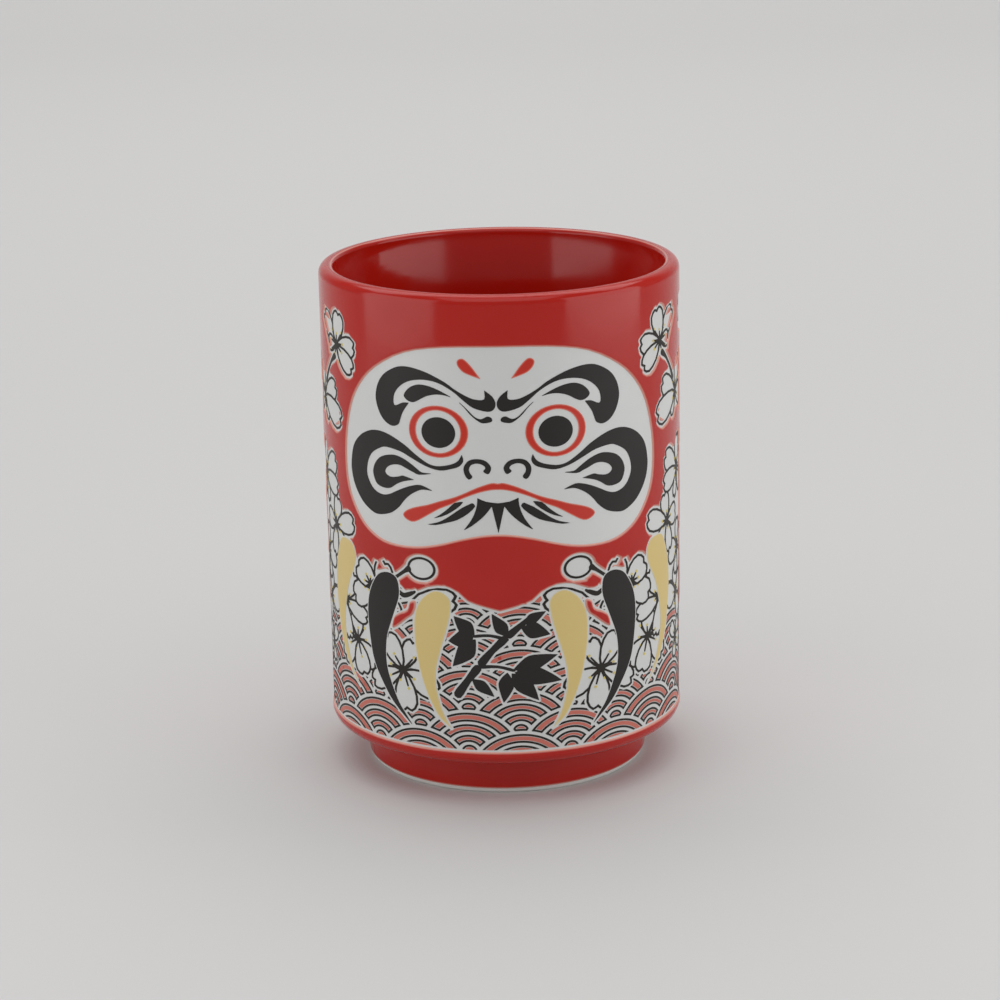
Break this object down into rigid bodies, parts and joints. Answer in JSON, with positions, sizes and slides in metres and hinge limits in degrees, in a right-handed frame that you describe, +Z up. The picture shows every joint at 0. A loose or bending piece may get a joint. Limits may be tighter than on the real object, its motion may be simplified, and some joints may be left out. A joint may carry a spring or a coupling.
{
  "type": "tea cup",
  "caption": "Straight-sided red-glazed porcelain tea cup on a low foot ring, printed with a daruma face, robe folds, blossom sprays, waves and brushed bamboo.",
  "frame": {"origin": "centre of the foot ring, on the surface the cup stands on", "axes": "+Z up along the cup's axis; the printed face looks along -Y; +X is to the right of a viewer who faces the printed face"},
  "size_m": [0.07, 0.07, 0.1],
  "materials": {
    "porcelain": "fine white biscuit, unglazed where it shows at the foot",
    "red_glaze": "glossy red glaze, thinner and paler at its edges",
    "clear_glaze": "clear gloss over white porcelain",
    "white_ground": "satin white printed ground",
    "black_ink": "satin black ceramic ink",
    "yellow_ink": "satin pale yellow ceramic ink",
    "red_ink": "satin red ceramic ink",
    "wave_ink": "thin streaky red ceramic ink",
    "pollen_ink": "pale yellow-green ceramic ink"
  },
  "bodies": {
    "root": {"porcelain_body": "porcelain", "inner_glaze": "red_glaze", "outer_glaze": "red_glaze", "base_glaze": "clear_glaze", "face_ground": "white_ground", "robe_ground": "white_ground", "spray_ground_left": "white_ground", "spray_ground_right": "white_ground", "back_ground": "white_ground", "brow_left": "black_ink", "brow_right": "black_ink", "forehead_mark_left": "red_ink", "forehead_mark_right": "red_ink", "eye_ring_left": "red_ink", "eye_ring_right": "red_ink", "pupil_left": "black_ink", "pupil_right": "black_ink", "nostril_left": "black_ink", "nostril_right": "black_ink", "cheek_scroll_left": "black_ink", "cheek_scroll_right": "black_ink", "mouth": "red_ink", "moustache": "black_ink", "robe_fold_inner_left": "yellow_ink", "robe_fold_inner_right": "yellow_ink", "robe_fold_middle_left": "black_ink", "robe_fold_middle_right": "black_ink", "robe_fold_outer_left": "yellow_ink", "robe_fold_outer_right": "yellow_ink", "wave_scales": "wave_ink", "blossom_lines_left": "black_ink", "blossom_lines_right": "black_ink", "blossom_pollen_left": "pollen_ink", "blossom_pollen_right": "pollen_ink", "brush_bamboo": "black_ink", "back_bamboo": "black_ink"}
  },
  "joints": []
}
